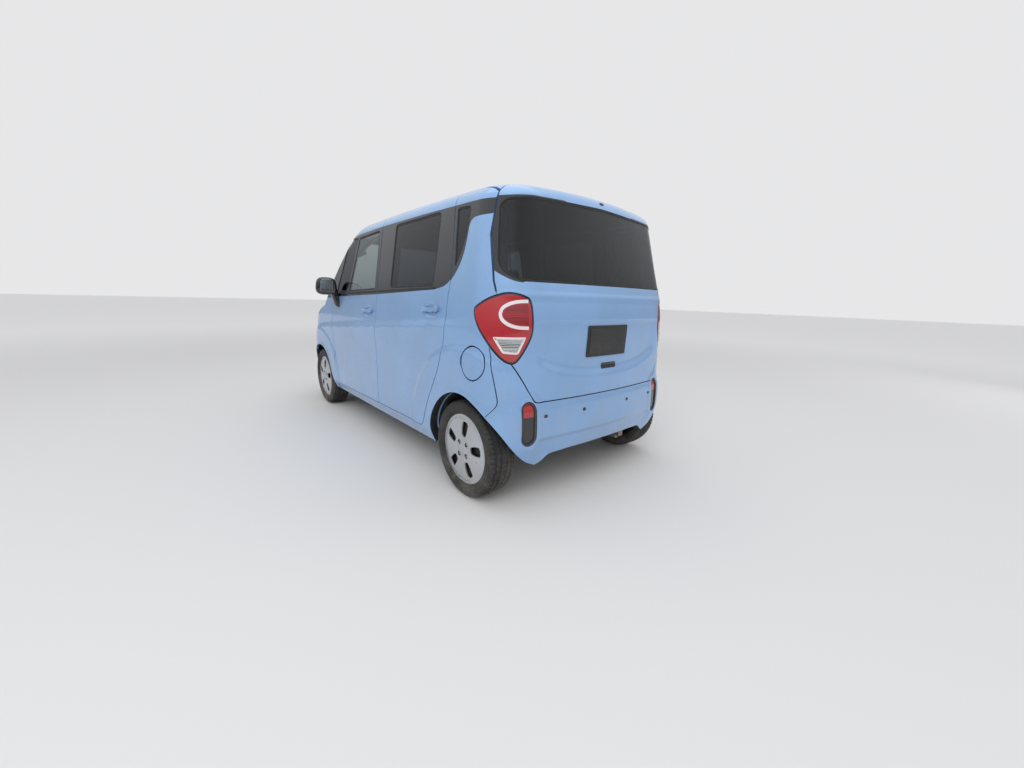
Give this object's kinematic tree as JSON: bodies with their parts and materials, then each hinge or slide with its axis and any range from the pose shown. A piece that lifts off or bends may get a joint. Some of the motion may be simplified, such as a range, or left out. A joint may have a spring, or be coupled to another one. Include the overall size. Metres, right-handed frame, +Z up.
{
  "type": "kei car",
  "caption": "Tall boxy mini car with hinged left doors, a sliding right rear door, tailgate, hood, steered front wheels and an open cabin with seats.",
  "frame": {"origin": "on the ground, under the centre of the body", "axes": "+X to the car's left, the car faces -Y, +Z up"},
  "size_m": [1.91, 3.5955, 1.6999],
  "materials": {
    "paint": "gloss light blue",
    "clear_glass": "polished",
    "dark_glass": "polished, tinted",
    "red_lamp": "clear red lens",
    "head_lamp": "clear lens",
    "black_trim": "grained",
    "tyre": "rubber",
    "wheel": "silver paint",
    "cast": "as cast",
    "steel": "black chassis paint",
    "muffler_steel": "aluminised",
    "dash_plastic": "fine grain",
    "seat_fabric": "woven"
  },
  "bodies": {
    "body": {"sliding_door": "paint", "body_side_left": "paint", "body_side_right": "paint", "roof_panel": "paint", "rear_bumper": "paint", "front_bumper": "paint", "front_fenders": "paint", "windscreen": "clear_glass", "sliding_door_glass": "dark_glass", "quarter_windows": "dark_glass", "tail_lamps": "red_lamp", "head_lamps": "head_lamp", "grilles": "black_trim", "cowl": "black_trim", "fuel_tank": "black_trim", "engine": "cast", "front_subframe": "steel", "rear_axle": "steel", "underbody": "steel", "exhaust": "muffler_steel", "dashboard": "dash_plastic", "front_seats": "seat_fabric", "rear_seat": "seat_fabric"},
    "hood": {"hood": "paint"},
    "front_door_left": {"front_door_left": "paint", "front_door_left_glass": "clear_glass", "mirror_left": "black_trim"},
    "rear_door_left": {"rear_door_left": "paint", "rear_door_left_glass": "dark_glass"},
    "front_door_right": {"front_door_right": "paint", "front_door_right_glass": "clear_glass", "mirror_right": "black_trim"},
    "tailgate": {"tailgate": "paint", "tailgate_glass": "dark_glass", "plate_bracket": "black_trim"},
    "fuel_flap": {"fuel_flap": "paint"},
    "steering_wheel": {"steering_wheel": "dash_plastic"},
    "knuckle_left": {"knuckle_left": "cast"},
    "knuckle_right": {"knuckle_right": "cast"},
    "wheel_front_left": {"tyre_front_left": "tyre", "wheel_front_left": "wheel"},
    "wheel_front_right": {"tyre_front_right": "tyre", "wheel_front_right": "wheel"},
    "wheel_rear_left": {"tyre_rear_left": "tyre", "wheel_rear_left": "wheel"},
    "wheel_rear_right": {"tyre_rear_right": "tyre", "wheel_rear_right": "wheel"}
  },
  "joints": [
    {"name": "hood_hinge", "type": "hinge", "parent": "body", "child": "hood", "pos_m": [0, -1.1485, 1.0424], "axis": [-1, 0, 0], "range_deg": [0, 50]},
    {"name": "front_left_door_hinge", "type": "hinge", "parent": "body", "child": "front_door_left", "pos_m": [0.7975, -0.7375, 0.7], "axis": [0, 0, -1], "range_deg": [0, 68]},
    {"name": "rear_left_door_hinge", "type": "hinge", "parent": "body", "child": "rear_door_left", "pos_m": [0.7975, 0.2525, 0.7], "axis": [0, 0, -1], "range_deg": [0, 75]},
    {"name": "front_right_door_hinge", "type": "hinge", "parent": "body", "child": "front_door_right", "pos_m": [-0.7975, -0.7375, 0.7], "axis": [0, 0, 1], "range_deg": [0, 88]},
    {"name": "tailgate_hinge", "type": "hinge", "parent": "body", "child": "tailgate", "pos_m": [0, 1.5205, 1.6913], "axis": [1, 0, 0], "range_deg": [0, 85]},
    {"name": "fuel_flap_hinge", "type": "hinge", "parent": "body", "child": "fuel_flap", "pos_m": [0.7935, 1.4225, 0.781], "axis": [0, 0, -1], "range_deg": [0, 90]},
    {"name": "steer_left", "type": "hinge", "parent": "body", "child": "knuckle_left", "pos_m": [0.65, -1.1175, 0.2], "axis": [-0.1857, 0, 0.9826], "range_deg": [-35, 35]},
    {"name": "steer_right", "type": "hinge", "parent": "body", "child": "knuckle_right", "pos_m": [-0.65, -1.1175, 0.2], "axis": [0.1857, 0, 0.9826], "range_deg": [-35, 35]},
    {"name": "steering_wheel_turn", "type": "hinge", "parent": "body", "child": "steering_wheel", "pos_m": [0.345, -0.3725, 0.98], "axis": [0, 0.891, 0.454], "range_deg": [-525, 525]},
    {"name": "wheel_front_left_spin", "type": "hinge", "parent": "knuckle_left", "child": "wheel_front_left", "pos_m": [0.6975, -1.1175, 0.278], "axis": [1, 0, 0], "continuous": true},
    {"name": "wheel_rear_left_spin", "type": "hinge", "parent": "body", "child": "wheel_rear_left", "pos_m": [0.6975, 1.4025, 0.278], "axis": [1, 0, 0], "continuous": true},
    {"name": "wheel_front_right_spin", "type": "hinge", "parent": "knuckle_right", "child": "wheel_front_right", "pos_m": [-0.6975, -1.1175, 0.278], "axis": [1, 0, 0], "continuous": true},
    {"name": "wheel_rear_right_spin", "type": "hinge", "parent": "body", "child": "wheel_rear_right", "pos_m": [-0.6975, 1.4025, 0.278], "axis": [1, 0, 0], "continuous": true}
  ],
  "couplings": [
    {"joint": "steer_right", "follows": "steer_left", "ratio": 1},
    {"joint": "steering_wheel_turn", "follows": "steer_left", "ratio": 15}
  ]
}
